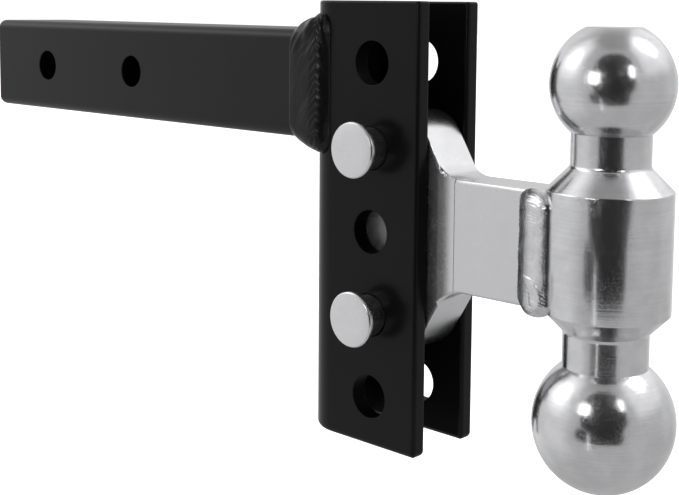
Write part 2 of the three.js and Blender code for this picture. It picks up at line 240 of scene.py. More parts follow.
def carve(piece, cutters):
    """Cuts the cutters out of a piece, and removes them."""
    for cutter in cutters:
        cut = piece.modifiers.new("cut", "BOOLEAN")
        cut.operation = "DIFFERENCE"
        cut.solver = "EXACT"
        cut.object = cutter
        bake(piece)
        bpy.data.objects.remove(cutter)


def smooth(piece, sharp_degrees=38):
    """Shades a piece smooth, except over edges sharper than that."""
    piece.data.shade_smooth()
    piece.data.set_sharp_from_angle(angle=math.radians(sharp_degrees))


def break_edges(piece, width, segments=3, from_degrees=40):
    """Rounds the sharp edges of a piece a little, and keeps its flat faces flat."""
    bevel = piece.modifiers.new("bevel", "BEVEL")
    bevel.width = width * MM
    bevel.segments = segments
    bevel.limit_method = "ANGLE"
    bevel.angle_limit = math.radians(from_degrees)
    bevel.use_clamp_overlap = True
    bake(piece)
    smooth(piece)
    normals = piece.modifiers.new("normals", "WEIGHTED_NORMAL")
    normals.keep_sharp = True
    bake(piece)


# The smallest radius that an inset leaves on a rounded corner.
SHARPEST = 0.05


def rounded_outline(corners, inset=0.0, degrees_per_step=6.0):
    """Points round a closed outline of (x, y, radius) corners, moved inward by an inset."""
    points = []
    for i, (x, y, radius) in enumerate(corners):
        corner = Vector((x, y))
        before = (Vector(corners[i - 1][:2]) - corner).normalized()
        after = (Vector(corners[(i + 1) % len(corners)][:2]) - corner).normalized()
        bisector = (before + after).normalized()
        half = before.angle(after) / 2
        outward_bend = (-before).cross(after) > 0
        side = 1 if outward_bend else -1
        corner = corner + bisector * (side * inset / math.sin(half))
        if radius == 0:
            points.append(corner)
            continue
        r = max(SHARPEST, radius - side * inset)
        centre = corner + bisector * (r / math.sin(half))
        start = corner + before * (r / math.tan(half)) - centre
        turn = side * (math.pi - 2 * half)
        steps = max(2, math.ceil(math.degrees(abs(turn)) / degrees_per_step))
        for k in range(steps + 1):
            points.append(centre + Matrix.Rotation(turn * k / steps, 2) @ start)
    return points


def round_end(place, radius, inward, steps=6):
    """Stations (place, inset) of a rounded end, from the end inward. inward is 1 or -1."""
    stations = []
    for k in range(steps + 1):
        angle = math.pi / 2 * k / steps
        stations.append((
            place + inward * radius * (1 - math.cos(angle)),
            radius * (1 - math.sin(angle)),
        ))
    return stations


def skin(rings):
    """A closed bmesh through rings of points, with flat ends."""
    mesh = bmesh.new()
    rows = [[mesh.verts.new(point) for point in ring] for ring in rings]
    for low, high in zip(rows, rows[1:]):
        for i in range(len(low)):
            j = (i + 1) % len(low)
            mesh.faces.new((low[i], low[j], high[j], high[i]))
    mesh.faces.new(rows[0])
    mesh.faces.new(rows[-1])
    return mesh


def circle(radius, sides):
    """Points round a circle about the origin."""
    points = []
    for k in range(sides):
        angle = 2 * math.pi * k / sides
        points.append((radius * math.cos(angle), radius * math.sin(angle)))
    return points


def bar_along_y(radius, x, z, low, high, sides=96):
    rings = []
    for y in (low, high):
        rings.append([(x + across, y, z + up) for across, up in circle(radius, sides)])
    return new_piece("cutter", skin(rings))


def bar_along_z(radius, x, y, low, high, sides=96):
    rings = []
    for z in (low, high):
        rings.append([(x + across, y + aside, z) for across, aside in circle(radius, sides)])
    return new_piece("cutter", skin(rings))


def lathe(profile, sides):
    """A closed bmesh turned about Z from (radius, height) points; both ends are on the axis."""
    mesh = bmesh.new()
    bottom = mesh.verts.new((0, 0, profile[0][1]))
    top = mesh.verts.new((0, 0, profile[-1][1]))
    rows = []
    for radius, height in profile[1:-1]:
        rows.append([mesh.verts.new((x, y, height)) for x, y in circle(radius, sides)])
    for k in range(sides):
        j = (k + 1) % sides
        mesh.faces.new((bottom, rows[0][j], rows[0][k]))
        mesh.faces.new((top, rows[-1][k], rows[-1][j]))
        for low, high in zip(rows, rows[1:]):
            mesh.faces.new((low[k], low[j], high[j], high[k]))
    return mesh


def arc(centre_radius, centre_height, radius, from_degrees, to_degrees, steps):
    """Points (radius, height) on a circular arc in a lathe profile."""
    points = []
    for k in range(steps + 1):
        angle = math.radians(from_degrees + (to_degrees - from_degrees) * k / steps)
        points.append((
            centre_radius + radius * math.cos(angle),
            centre_height + radius * math.sin(angle),
        ))
    return points


# How near the wall of a hole a face is, and how far it may lean, to count as its wall.
WALL_NEARNESS = 0.3
WALL_LEAN = 0.2
UPRIGHT_LEAN = 0.5


def paint_shade_inside(piece, middles, radius, look, half_gap=0.0, mouth=0.0):
    """Gives a darker material, painted shade, to the walls of the round holes along Y.

    Upright faces within half_gap of the middle and behind mouth get it too, as painted shade
    for the inside of the channel.
    """
    piece.data.materials.clear()
    piece.data.materials.append(look)
    # The second material is painted shade: it colours hole walls and the channel's inside near
    # black.
    piece.data.materials.append(BORE_SHADE_LOOK)
    for face in piece.data.polygons:
        centre = face.center / MM
        for x, z in middles:
            away = math.hypot(centre.x - x, centre.z - z)
            if abs(away - radius) < WALL_NEARNESS and abs(face.normal.y) < WALL_LEAN:
                face.material_index = 1
        upright = abs(face.normal.z) < UPRIGHT_LEAN
        if upright and abs(centre.y) < half_gap and centre.x < mouth:
            face.material_index = 1


def stand_for(piece, node, body, look):
    """Puts a finished piece in the place of a CAD node."""
    piece.name = node + "_skin"
    if not piece.data.materials:
        piece.data.materials.append(look)
    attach(piece, body)
    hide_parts(node)


# ---------- materials ----------


def math_node(tree, operation, *values, clamp=False):
    """The result of a Math node that takes numbers or outputs of other nodes."""
    node = tree.nodes.new("ShaderNodeMath")
    node.operation = operation
    node.use_clamp = clamp
    for socket, value in zip(node.inputs, values):
        if isinstance(value, (int, float)):
            socket.default_value = value
        else:
            tree.links.new(value, socket)
    return node.outputs[0]


def range_node(tree, value, low, high, to_low, to_high):
    """Eases a value from to_low to to_high as it goes from low to high."""
    node = tree.nodes.new("ShaderNodeMapRange")
    node.interpolation_type = "SMOOTHSTEP"
    node.inputs["From Min"].default_value = low
    node.inputs["From Max"].default_value = high
    node.inputs["To Min"].default_value = to_low
    node.inputs["To Max"].default_value = to_high
    tree.links.new(value, node.inputs["Value"])
    return node.outputs["Result"]


def grey(value):
    """A grey with a breath of blue."""
    return (value, value, value * 1.02)


class Look:
    """A node material with a Principled shader and the object's own coordinates."""

    def __init__(self, name, colour, metallic, roughness):
        self.material = bpy.data.materials.new(name)
        self.material.use_nodes = True
        self.tree = self.material.node_tree
        self.nodes = self.tree.nodes
        self.shader = self.nodes["Principled BSDF"]
        self.shader.inputs["Base Color"].default_value = (*colour, 1)
        self.shader.inputs["Metallic"].default_value = metallic
        self.shader.inputs["Roughness"].default_value = roughness
        self.roughness = roughness
        self.place = self.nodes.new("ShaderNodeTexCoord").outputs["Object"]
        self.height = None

    def link(self, output, target):
        self.tree.links.new(output, target)

    def math(self, operation, *values, clamp=False):
        return math_node(self.tree, operation, *values, clamp=clamp)

    def ranged(self, value, low, high, to_low=0.0, to_high=1.0):
        return range_node(self.tree, value, low, high, to_low, to_high)

    def stretched(self, scale):
        """The object's coordinates, scaled."""
        node = self.nodes.new("ShaderNodeMapping")
        node.inputs["Scale"].default_value = scale
        self.link(self.place, node.inputs["Vector"])
        return node.outputs["Vector"]

    def noise(self, size, place=None, detail=3, roughness=0.5):
        """Noise from 0 to 1 with features of about that size, in millimetres."""
        node = self.nodes.new("ShaderNodeTexNoise")
        node.inputs["Scale"].default_value = 1 / (size * MM)
        node.inputs["Detail"].default_value = detail
        node.inputs["Roughness"].default_value = roughness
        self.link(place or self.place, node.inputs["Vector"])
        return node.outputs["Fac"]

    def axis(self, letter, place=None):
        node = self.nodes.new("ShaderNodeSeparateXYZ")
        self.link(place or self.place, node.inputs["Vector"])
        return node.outputs[letter]

    def add_height(self, value, depth):
        """Adds a bump whose full swing is depth, in millimetres."""
        part = self.math("MULTIPLY", value, depth)
        self.height = part if self.height is None else self.math("ADD", self.height, part)

    def vary_shade(self, value, shade, least, most):
        """Colours from least to most times a shade of grey, as value goes from 0 to 1."""
        node = self.nodes.new("ShaderNodeMix")
        node.data_type = "RGBA"
        node.inputs["A"].default_value = (*grey(shade * least), 1)
        node.inputs["B"].default_value = (*grey(min(1, shade * most)), 1)
        self.link(value, node.inputs["Factor"])
        self.link(node.outputs["Result"], self.shader.inputs["Base Color"])

    def vary_roughness(self, value, swing):
        """Lets the roughness swing about its middle."""
        uneven = self.math("MULTIPLY_ADD", value, swing, self.roughness - swing / 2)
        self.link(uneven, self.shader.inputs["Roughness"])

    def finish(self):
        if self.height is not None:
            bump = self.nodes.new("ShaderNodeBump")
            bump.inputs["Distance"].default_value = MM
            self.link(self.height, bump.inputs["Height"])
            self.link(bump.outputs["Normal"], self.shader.inputs["Normal"])
        return self.material


# Sizes and depths of the features of a surface, in millimetres. A share is of the depth that
# the material is made with, and EDGES are the noise values between which a feature starts.
PEEL_SIZE = 1.1
PAINT_GRAIN_SIZE = 0.32
PAINT_GRAIN_SHARE = 0.35
PAINT_PATCH_SIZE = 24

RING_SIZE = 0.22
RING_TONE_EDGES = (0.35, 0.65)
TOOL_MARK_SIZE = 1.1
TOOL_MARK_SHARE = 2.2
PIT_SIZE = 0.5
PIT_EDGES = (0.55, 0.68)
PIT_DEPTH = 0.012
CLOUD_SIZE = 9
TURNED_ANISOTROPY = 0.35

BLAST_AND_SHADE_TO_X = WIDE_END_X + 1.0
MILLED_FROM_X = NECK_FLAT_X - 1.0
SIDE_FACING = (0.885, 0.915)
BLAST_SIZE = 0.7
BLAST_EDGES = (0.45, 0.65)
BLAST_DEPTH = 0.09
MILL_MARK_SIZE = 0.4
MILL_MARK_STRETCH = (1, 1, 0.08)
MILL_MARK_DEPTH = 0.006
MOTTLE_SIZE = 7
# The bracket's base tone, and how much painted shade darkens the blasted slider sides beside the
# channel.
BRACKET_BASE_TONE = 0.9
SLIDER_PAINTED_SHADE = -0.66
MOTTLE_TONE = 0.1

BEAD_RIDGE_SIZE = 0.6
SOOT_SIZE = 3.5
# Where the painted shade beside the neck ends on the beads, along X, and how dark it is there.
BEAD_SHADE_FROM = 390.0
BEAD_SHADE_TO = 396.5
BEAD_SHADE_TONE = 0.36

STREAK_SIZE = 0.3
STREAK_STRETCH = (1, 1, 0.2)
STREAK_DEPTH = 0.006
PLATING_PATCH_SIZE = 5


def powder_coat(name, shade, roughness, peel_depth, specular):
    """Black paint with a fine orange peel."""
    look = Look(name, grey(shade), 0.0, roughness)
    look.shader.inputs["Specular IOR Level"].default_value = specular
    peel = look.noise(PEEL_SIZE, detail=2)
    grain = look.noise(PAINT_GRAIN_SIZE, detail=2)
    patches = look.noise(PAINT_PATCH_SIZE, detail=3)
    look.add_height(peel, peel_depth)
    look.add_height(grain, peel_depth * PAINT_GRAIN_SHARE)
    look.vary_shade(patches, shade, least=0.8, most=1.2)
    look.vary_roughness(peel, swing=0.1)
    return look.finish()


def turned_metal(name, shade, roughness, tool_depth):
    """Metal turned on a lathe about the post's axis: fine rings and coarser tool marks."""
    look = Look(name, grey(shade), 1.0, roughness)
    look.shader.inputs["Anisotropic"].default_value = TURNED_ANISOTROPY
    tangent = look.nodes.new("ShaderNodeTangent")
    tangent.direction_type = "RADIAL"
    tangent.axis = "Z"
    look.link(tangent.outputs["Tangent"], look.shader.inputs["Tangent"])
    x = look.math("SUBTRACT", look.axis("X"), POST_X * MM)
    y = look.axis("Y")
    squares = look.math("ADD", look.math("MULTIPLY", x, x), look.math("MULTIPLY", y, y))
    radius = look.math("SQRT", squares)
    around = look.nodes.new("ShaderNodeCombineXYZ")
    look.link(radius, around.inputs["X"])
    look.link(look.axis("Z"), around.inputs["Y"])
    rings = look.noise(RING_SIZE, place=around.outputs["Vector"], detail=4, roughness=0.65)
    marks = look.noise(TOOL_MARK_SIZE, place=around.outputs["Vector"], detail=1)
    pits = look.ranged(look.noise(PIT_SIZE, detail=3, roughness=0.7), *PIT_EDGES)
    cloud = look.noise(CLOUD_SIZE, detail=4)
    look.add_height(rings, tool_depth)
    look.add_height(marks, tool_depth * TOOL_MARK_SHARE)
    look.add_height(pits, PIT_DEPTH)
    look.vary_roughness(cloud, swing=0.12)
    tone = look.math("MULTIPLY_ADD", rings, 0.5, look.math("MULTIPLY", cloud, 0.5))
    look.vary_shade(look.ranged(tone, *RING_TONE_EDGES), shade, least=0.92, most=1.07)
    return look.finish()


def bracket_metal(name, shade, roughness):
    """Coarse blasted sides on the slider, darkened with painted shade beside the channel, and a
    smooth milled neck.
    """
    look = Look(name, grey(shade), 1.0, roughness)
    toward_neck = look.ranged(look.axis("X"), BLAST_AND_SHADE_TO_X * MM, MILLED_FROM_X * MM)
    toward_slider = look.math("SUBTRACT", 1.0, toward_neck)
    facing = look.nodes.new("ShaderNodeTexCoord").outputs["Normal"]
    on_sides = look.ranged(look.math("ABSOLUTE", look.axis("Y", facing)), *SIDE_FACING)
    blasted_and_shaded = look.math("MULTIPLY", toward_slider, on_sides)
    grain = look.ranged(look.noise(BLAST_SIZE, detail=3, roughness=0.75), *BLAST_EDGES)
    marks = look.noise(MILL_MARK_SIZE, place=look.stretched(MILL_MARK_STRETCH), detail=3)
    mottle = look.noise(MOTTLE_SIZE, detail=4)
    look.add_height(look.math("MULTIPLY", grain, blasted_and_shaded), BLAST_DEPTH)
    look.add_height(marks, MILL_MARK_DEPTH)
    look.vary_roughness(mottle, swing=0.1)
    # Painted shade: the blasted slider sides are darkened in colour, standing in for the shade
    # and dark reflection beside the channel.
    tone_with_painted_shade = look.math("MULTIPLY_ADD", blasted_and_shaded, SLIDER_PAINTED_SHADE, BRACKET_BASE_TONE)
    tone = look.math("MULTIPLY_ADD", mottle, MOTTLE_TONE, tone_with_painted_shade, clamp=True)
    look.vary_shade(tone, shade, least=0.12, most=1.05)
    return look.finish()


def bead_metal(name, shade, roughness, ridge_depth):
    """A bare weld bead, darkened with painted shade along its toe on the neck."""
    look = Look(name, grey(shade), 1.0, roughness)
    ridges = look.noise(BEAD_RIDGE_SIZE, detail=4, roughness=0.6)
    soot = look.noise(SOOT_SIZE, detail=4, roughness=0.6)
    look.add_height(ridges, ridge_depth)
    # Painted shade: the bead's colour darkens toward its toe on the neck, in mottled patches.
    shade_past_toe = look.ranged(
        look.axis("X"), BEAD_SHADE_FROM * MM, BEAD_SHADE_TO * MM, to_low=BEAD_SHADE_TONE
    )
    tone = look.math("MULTIPLY", shade_past_toe, look.math("MULTIPLY_ADD", soot, 0.4, 0.7))
    look.vary_shade(tone, shade, least=0.12, most=1.05)
    look.vary_roughness(soot, swing=0.14)
    return look.finish()


def plated_steel(name, shade, roughness):
    """Plated steel with a fine upright grain."""
    look = Look(name, grey(shade), 1.0, roughness)
    streaks = look.noise(STREAK_SIZE, place=look.stretched(STREAK_STRETCH), detail=3)
    patches = look.noise(PLATING_PATCH_SIZE, detail=4)
    look.add_height(streaks, STREAK_DEPTH)
    look.vary_shade(patches, shade, least=0.94, most=1.05)
    look.vary_roughness(patches, swing=0.1)
    return look.finish()


SHANK_LOOK = powder_coat(
    "shank_black", shade=0.006, roughness=0.34, peel_depth=0.02, specular=0.23
)
CHANNEL_LOOK = powder_coat(
    "channel_black", shade=0.003, roughness=0.25, peel_depth=0.008, specular=0.155
)
SHANK_WELD_LOOK = powder_coat(
    "weld_black", shade=0.004, roughness=0.24, peel_depth=0.02, specular=0.3
)
# Painted shade: a near-black paint for the walls of holes and the inside of the channel, where
# shade falls.
BORE_SHADE_LOOK = powder_coat(
    "bore_painted_shade", shade=0.001, roughness=0.5, peel_depth=0.02, specular=0.05
)
POST_LOOK = turned_metal("post_metal", shade=0.78, roughness=0.165, tool_depth=0.007)
BRACKET_LOOK = bracket_metal("bracket_metal", shade=0.78, roughness=0.26)
NECK_WELD_LOOK = bead_metal("neck_weld_metal", shade=0.78, roughness=0.22, ridge_depth=0.05)
PIN_LOOK = plated_steel("pin_steel", shade=0.82, roughness=0.28)
CLIP_LOOK = plated_steel("clip_steel", shade=0.7, roughness=0.28)

# ---------- shank ----------


def square_corners(half_width, half_height, radius):
    """The rounded corners of a rectangle about the origin."""
    return [
        (-half_width, -half_height, radius),
        (half_width, -half_height, radius),
        (half_width, half_height, radius),
        (-half_width, half_height, radius),
    ]


def make_shank():
    half = SHANK_HIGH.z
    corners = square_corners(half, half, SHANK_CORNER)
    stations = round_end(SHANK_LOW.x, SHANK_REAR_ROUNDING, 1, 8) + [(SHANK_HIGH.x, 0.0)]
    rings = []
    for x, inset in stations:
        rings.append([(x, point.x, point.y) for point in rounded_outline(corners, inset)])
    shank = new_piece("shank", skin(rings))
    past = half + PAST
    carve(shank, [bar_along_y(SHANK_HOLE_RADIUS, x, 0, -past, past) for x in SHANK_HOLE_XS])
    break_edges(shank, EDGE_BREAK)
    middles = [(x, 0) for x in SHANK_HOLE_XS]
    paint_shade_inside(shank, middles, SHANK_HOLE_RADIUS, SHANK_LOOK)
    stand_for(shank, "shank", "hitch", SHANK_LOOK)


# ---------- channel ----------


def make_channel():
    outer = CHANNEL_HIGH.y
    inner = outer - FLANGE
    back = CHANNEL_LOW.x
    mouth = CHANNEL_HIGH.x
    floor = back + FLANGE
    corners = [
        (back, -outer, CHANNEL_OUTER_RADIUS),
        (mouth, -outer, CHANNEL_TIP_RADIUS),
        (mouth, -inner, CHANNEL_TIP_RADIUS),
        (floor, -inner, CHANNEL_INNER_RADIUS),
        (floor, inner, CHANNEL_INNER_RADIUS),
        (mouth, inner, CHANNEL_TIP_RADIUS),
        (mouth, outer, CHANNEL_TIP_RADIUS),
        (back, outer, CHANNEL_OUTER_RADIUS),
    ]
    bottom_end = round_end(CHANNEL_LOW.z, CHANNEL_BOTTOM_ROUNDING, 1, 6)
    top_end = round_end(CHANNEL_HIGH.z, CHANNEL_TOP_ROUNDING, -1, 4)
    rings = []
    for z, inset in bottom_end + top_end[::-1]:
        rings.append([(point.x, point.y, z) for point in rounded_outline(corners, inset)])
    channel = new_piece("channel", skin(rings))
    past = outer + PAST
    cutters = [
        bar_along_y(ADJUSTING_HOLE_RADIUS, PIN_X, z, -past, past) for z in CHANNEL_HOLE_ZS
    ]
    carve(channel, cutters)
    break_edges(channel, EDGE_BREAK)
    middles = [(PIN_X, z) for z in CHANNEL_HOLE_ZS]
    before_tips = mouth - CHANNEL_TIP_RADIUS
    just_past_inner = inner + 0.1
    # The inside of the channel, short of its tips, gets the painted shade too.
    paint_shade_inside(
        channel, middles, ADJUSTING_HOLE_RADIUS, CHANNEL_LOOK, just_past_inner, before_tips
    )
    stand_for(channel, "channel", "hitch", CHANNEL_LOOK)


# ---------- bead between shank and channel ----------

# How far past the shank's end, half width and half height of the bead, toward the channel.
SHANK_WELD_STEPS = [
    (-5.4, 25.1, 25.1),
    (-4.8, 25.6, 26.0),
    (-3.8, 25.8, 26.9),
    (-1.0, 26.0, 28.5),
    (4.0, 26.1, 30.4),
    (9.0, 26.1, 31.8),
    (12.6, 25.6, 32.6),
    (14.4, 24.6, 32.6),
    (15.8, 23.2, 32.0),
    (17.2, 21.4, 30.8),
    (17.7, 20.4, 30.2),
]
SHANK_WELD_CORNER = 8.0
SHANK_WELD_RINGS = 54
SHANK_WELD_RING_POINTS = 420
CHANNEL_WALL_MIDDLE = 4.0
FLANGE_OVERLAP = 1.0

# The shank bead's ripples run aslant, by RIPPLE_SLANT millimetres from the shank to the channel,
# and start part of the way across. Above LUMPY_FROM_HEIGHT the bead grows lumpier.
RIPPLE_PITCH = 3.6
RIPPLE_SLANT = 26
RIPPLE_DEPTH = 0.2
RIPPLES_FROM = 0.52
LUMPY_FROM_HEIGHT = 12
LUMPY_RISE = 10


def unit(value):
    """Keeps a value from 0 to 1."""
    return min(1, max(0, value))


def blend_steps(steps, x):
    """The half width and half height at x, in a straight line between the listed steps."""
    for (x0, w0, h0), (x1, w1, h1) in zip(steps, steps[1:]):
        if x <= x1:
            t = (x - x0) / (x1 - x0)
            return w0 + (w1 - w0) * t, h0 + (h1 - h0) * t
    return steps[-1][1:]


def even_points(outline, count):
    """Equally spaced points round a closed outline, and how far along each lies."""
    closed = outline + outline[:1]
    lengths = [0.0]
    for a, b in zip(closed, closed[1:]):
        lengths.append(lengths[-1] + (b - a).length)
    points = []
    span = 0
    for k in range(count):
        along = lengths[-1] * k / count
        while lengths[span + 1] <= along:
            span += 1
        part = (along - lengths[span]) / (lengths[span + 1] - lengths[span])
        points.append((closed[span].lerp(closed[span + 1], part), along))
    return points


def shank_bead_height(along, across, up):
    """How far the bead stands out. across runs from 0 at the shank to 1 at the channel."""
    fade = math.sin(math.pi * unit(across)) ** 0.6
    weave = noise.noise((along / 8, across * 3.0, 3.7)) * 3.0
    ripple = math.sin(2 * math.pi * (along + RIPPLE_SLANT * across + weave) / RIPPLE_PITCH)
    ripple = RIPPLE_DEPTH * ripple * min(1, max(0.05, 4 * (across - RIPPLES_FROM)))
    near_top = unit((up - LUMPY_FROM_HEIGHT) / LUMPY_RISE)
    lumps = (0.45 + 1.3 * near_top) * noise.noise((along / 7, across * 2.6, 0.4))
    dimples = (0.08 + 0.4 * near_top) * noise.noise((along / 3.0, across * 7.0, 8.1))
    return fade * (ripple + lumps + dimples)


def make_shank_weld():
    first = SHANK_WELD_STEPS[0][0]
    last = SHANK_WELD_STEPS[-1][0]
    wall_x = CHANNEL_LOW.x + CHANNEL_WALL_MIDDLE
    inside = CHANNEL_HIGH.y - FLANGE + FLANGE_OVERLAP
    rings = []
    for k in range(SHANK_WELD_RINGS + 1):
        across = k / SHANK_WELD_RINGS
        x = first + (last - first) * across
        half_width, half_height = blend_steps(SHANK_WELD_STEPS, x)
        outline = rounded_outline(square_corners(half_width, half_height, SHANK_WELD_CORNER))
        ring = []
        spaced = even_points(outline, SHANK_WELD_RING_POINTS)
        for i, (point, along) in enumerate(spaced):
            ahead = spaced[(i + 1) % len(spaced)][0] - spaced[i - 1][0]
            outward = Vector((ahead.y, -ahead.x)).normalized()
            moved = point + outward * shank_bead_height(along, across, point.y)
            place_x = SHANK_HIGH.x + x
            if abs(moved.x) < inside:
                place_x = min(place_x, wall_x)
            ring.append((place_x, moved.x, moved.y))
        rings.append(ring)
    weld = new_piece("shank_weld", skin(rings))
    smooth(weld, 60)
    stand_for(weld, "shank_weld", "hitch", SHANK_WELD_LOOK)


# ---------- bracket ----------


def bracket_corners():
    """The bracket seen from the side, as (x, z, radius) corners."""
    def upper_slope_x(z):
        return UPPER_SLOPE_POINT[0] + (UPPER_SLOPE_POINT[1] - z) / SLOPE_RISE

    def lower_slope_x(z):
        return LOWER_SLOPE_POINT[0] + (z - LOWER_SLOPE_POINT[1]) / SLOPE_RISE

    back = BRACKET_LOW.x
    bottom = BRACKET_LOW.z
    top = BRACKET_HIGH.z
    return [
        (back, bottom, BRACKET_CORNER),
        (lower_slope_x(bottom), bottom, SHOULDER_RADIUS),
        (lower_slope_x(NECK_BOTTOM), NECK_BOTTOM, NECK_FILLET_RADIUS),
        (POST_X, NECK_BOTTOM, 0),
        (POST_X, NECK_TOP, 0),
        (upper_slope_x(NECK_TOP), NECK_TOP, NECK_FILLET_RADIUS),
        (upper_slope_x(top), top, SHOULDER_RADIUS),
        (back, top, BRACKET_CORNER),
    ]


def milled_away(x, wide_half):
    """How much is milled off one side of the bracket at x."""
    rise = wide_half - NECK_HALF_WIDTH
    run = NECK_FLAT_X - WIDE_END_X
    if x <= WIDE_END_X:
        return 0.0
    if x >= NECK_FLAT_X:
        return rise
    run_out = ((NECK_FLAT_X - x) / run) ** RUN_OUT_POWER
    return (rise - MILLING_STEP) * (1 - run_out)


def make_bracket():
    half = BRACKET_HIGH.y
    stations = [
        (-half, BRACKET_CHAMFER),
        (BRACKET_CHAMFER_DEPTH - half, 0.0),
        (half - BRACKET_CHAMFER_DEPTH, 0.0),
        (half, BRACKET_CHAMFER),
    ]
    rings = []
    for y, inset in stations:
        outline = rounded_outline(bracket_corners(), inset, 4.0)
        rings.append([(point.x, y, point.y) for point in outline])
    mesh = skin(rings)
    run = NECK_FLAT_X - WIDE_END_X
    cuts = [WIDE_END_X + run * k / RUN_OUT_SLICES for k in range(RUN_OUT_SLICES + 1)]
    for x in cuts + [NECK_FLAT_X - MILLING_STEP]:
        everything = mesh.verts[:] + mesh.edges[:] + mesh.faces[:]
        bmesh.ops.bisect_plane(mesh, geom=everything, plane_co=(x, 0, 0), plane_no=(1, 0, 0))
    for vert in mesh.verts:
        cut = milled_away(vert.co.x + A_HAIR, half)
        vert.co.y -= math.copysign(cut, vert.co.y)
    bracket = new_piece("bracket", mesh)
    past = half + PAST
    low = NECK_BOTTOM - HOLLOW_PAST
    high = NECK_TOP + HOLLOW_PAST
    post_hollow = bar_along_z(BAR_RADIUS + POST_GAP, POST_X, 0, low, high, sides=192)
    cutters = [
        bar_along_y(ADJUSTING_HOLE_RADIUS, PIN_X, z, -past, past)
        for z in (UPPER_PIN_Z, LOWER_PIN_Z)
    ]
    carve(bracket, [post_hollow] + cutters)
    break_edges(bracket, BRACKET_EDGE_BREAK)
    stand_for(bracket, "ball_mount_bracket", "hitch", BRACKET_LOOK)


# ---------- ball post ----------


def cone_fillet(neck_radius, cone_end, toward_cone):
    """The hollow corner where a neck runs into its cone, from the neck outward."""
    r = CONE_FILLET_RADIUS
    start_z = cone_end - toward_cone * r * math.tan(math.pi / 8)
    points = []
    steps = 8
    for k in range(steps + 1):
        angle = math.pi / 4 * k / steps
        points.append((
            neck_radius + r * (1 - math.cos(angle)),
            start_z + toward_cone * r * math.sin(angle),
        ))
    return points


def degrees_from_middle(radius, ball_radius):
    """How far above or below a ball's middle it is as narrow as radius."""
    return math.degrees(math.acos(radius / ball_radius))


def make_post():
    rim = POST_RIM
    lower_flat = degrees_from_middle(BALL_FLAT_RADIUS, LOWER_BALL_RADIUS)
    upper_flat = degrees_from_middle(BALL_FLAT_RADIUS, UPPER_BALL_RADIUS)
    lower_meet = degrees_from_middle(LOWER_NECK_RADIUS, LOWER_BALL_RADIUS)
    upper_meet = degrees_from_middle(UPPER_NECK_RADIUS, UPPER_BALL_RADIUS)
    lower_cone_end = BAR_BOTTOM - (BAR_RADIUS - LOWER_NECK_RADIUS)
    upper_cone_end = BAR_TOP + (BAR_RADIUS - UPPER_NECK_RADIUS)
    lower_ball = arc(0, LOWER_BALL_Z, LOWER_BALL_RADIUS, -lower_flat, lower_meet, 90)
    upper_ball = arc(0, UPPER_BALL_Z, UPPER_BALL_RADIUS, -upper_meet, upper_flat, 90)
    profile = [
        (0, lower_ball[0][1]),
        (BALL_FLAT_RADIUS * 0.5, lower_ball[0][1]),
        (BALL_FLAT_RADIUS - rim, lower_ball[0][1]),
        *lower_ball,
        *cone_fillet(LOWER_NECK_RADIUS, lower_cone_end, 1),
        (BAR_RADIUS - rim, BAR_BOTTOM - rim),
        (BAR_RADIUS - rim * 0.3, BAR_BOTTOM - rim * 0.2),
        (BAR_RADIUS, BAR_BOTTOM + rim),
        (BAR_RADIUS, (BAR_BOTTOM + BAR_TOP) / 2),
        (BAR_RADIUS, BAR_TOP - rim),
        (BAR_RADIUS - rim * 0.3, BAR_TOP + rim * 0.2),
        (BAR_RADIUS - rim, BAR_TOP + rim),
        *cone_fillet(UPPER_NECK_RADIUS, upper_cone_end, -1)[::-1],
        *upper_ball,
        (BALL_FLAT_RADIUS - rim, upper_ball[-1][1]),
        (BALL_FLAT_RADIUS * 0.5, upper_ball[-1][1]),
        (0, upper_ball[-1][1]),
    ]
    mesh = lathe(profile, 256)
    bmesh.ops.translate(mesh, verts=mesh.verts, vec=(POST_X, 0, 0))
    post = new_piece("post", mesh)
    smooth(post, 30)
    stand_for(post, "ball_post", "hitch", POST_LOOK)


# ---------- beads between neck and post ----------

# The bead's two toes, seen from above as (x, y) on the near side.
NECK_TOE = Vector((380.5, -11.0))
BAR_TOE = Vector((404.7, -21.9))
BEAD_INSET = 1.3
BEAD_THICKNESS = 5.6
BEAD_END = 7.0
BEAD_SHOULDER = 0.05
BEAD_FALL = 0.5
BEAD_ROWS = 230
BEAD_ROW_POINTS = 120

# The neck bead's surface: slanted ripples on the slope, curved ones on the shoulder, and a last
# puddle with a crater in it. Middles are (across, along), and pitches and depths in millimetres.
SLANT_RIPPLE_PITCH = 1.9
SLANT_RIPPLE_DEPTH = 0.24
ARC_RIPPLE_PITCH = 1.35
ARC_RIPPLE_DEPTH = 0.06
PUDDLE_MIDDLE = (0.12, -17.0)
PUDDLE_SIZE = (0.78, 9.0)
CRATER_MIDDLE = (0.35, -18.5)
# About half the bead's width, which turns a place across it into millimetres.
HALF_ACROSS_MM = 12


def neck_bead_profile(across):
    """Height of the plain bead: a long slope from the neck, then a round shoulder."""
    if across < BEAD_SHOULDER:
        rise = (across + 1) / (BEAD_SHOULDER + 1)
        return 0.7 * rise ** 0.8 + 0.3 * rise ** 2
    fall = (across - BEAD_SHOULDER) / (1 - BEAD_SHOULDER)
    return (1 - BEAD_FALL * fall ** 2) * math.sqrt(max(0, 1 - fall ** 10))


def hump(x, y, width, height):
    """A bell shape that is 1 at its middle."""
    return math.exp(-(x ** 2 / width + y ** 2 / height))


